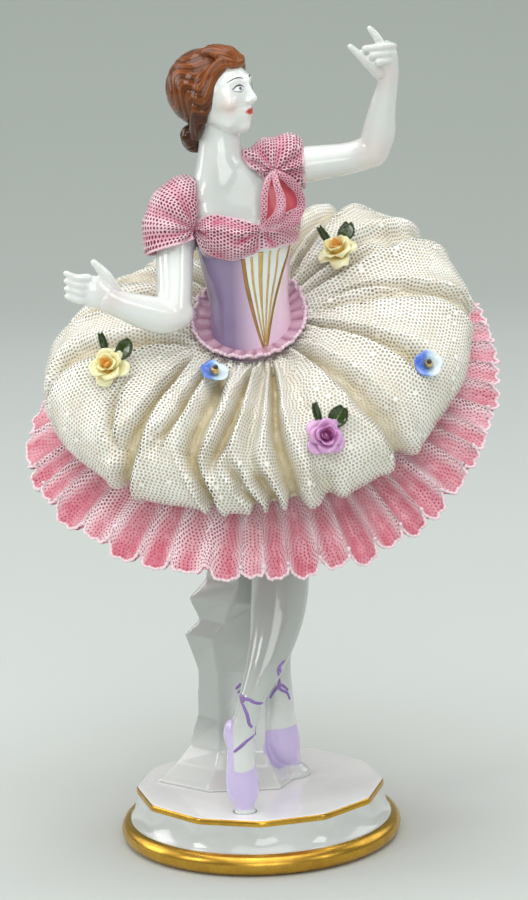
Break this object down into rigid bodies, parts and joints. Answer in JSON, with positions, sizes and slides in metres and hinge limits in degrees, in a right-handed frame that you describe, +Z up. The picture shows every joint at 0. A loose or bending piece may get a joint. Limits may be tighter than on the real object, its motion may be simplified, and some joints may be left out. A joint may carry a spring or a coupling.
{
  "type": "ballerina figurine",
  "caption": "Glazed porcelain dancer in a gathered cream lace skirt over a pleated pink frill, one arm raised, on a round gilded plinth.",
  "frame": {"origin": "middle of the plinth's flat underside", "axes": "+Z up; the dancer's chest faces -Y, her lowered arm is on the -X side and her raised arm on the +X side"},
  "size_m": [0.1304, 0.1083, 0.2296],
  "materials": {
    "plinth_porcelain": "clear glaze with burnished gold line and foot ring",
    "porcelain": "clear glaze over painted enamels",
    "cream_lace": "lace dipped in cream slip and fired, satin",
    "pink_lace": "lace dipped in pink slip and fired, satin",
    "mauve_lace": "lace dipped in mauve slip and fired, satin",
    "yellow_petals": "glossy enamel",
    "mauve_petals": "glossy enamel",
    "blue_petals": "glossy enamel",
    "leaf_green": "glossy enamel"
  },
  "bodies": {
    "root": {"plinth": "plinth_porcelain", "dancer": "porcelain", "overskirt": "cream_lace", "underskirt_frill": "pink_lace", "waist_ruff": "mauve_lace", "sleeve_low": "pink_lace", "bertha": "pink_lace", "sleeve_raised": "pink_lace", "yellow_rose_back": "yellow_petals", "yellow_rose_side": "yellow_petals", "mauve_rose": "mauve_petals", "blue_flower_front": "blue_petals", "blue_flower_side": "blue_petals", "yellow_rose_back_leaf_1": "leaf_green", "yellow_rose_back_leaf_2": "leaf_green", "yellow_rose_side_leaf_1": "leaf_green", "yellow_rose_side_leaf_2": "leaf_green", "mauve_rose_leaf_1": "leaf_green", "mauve_rose_leaf_2": "leaf_green"}
  },
  "joints": []
}
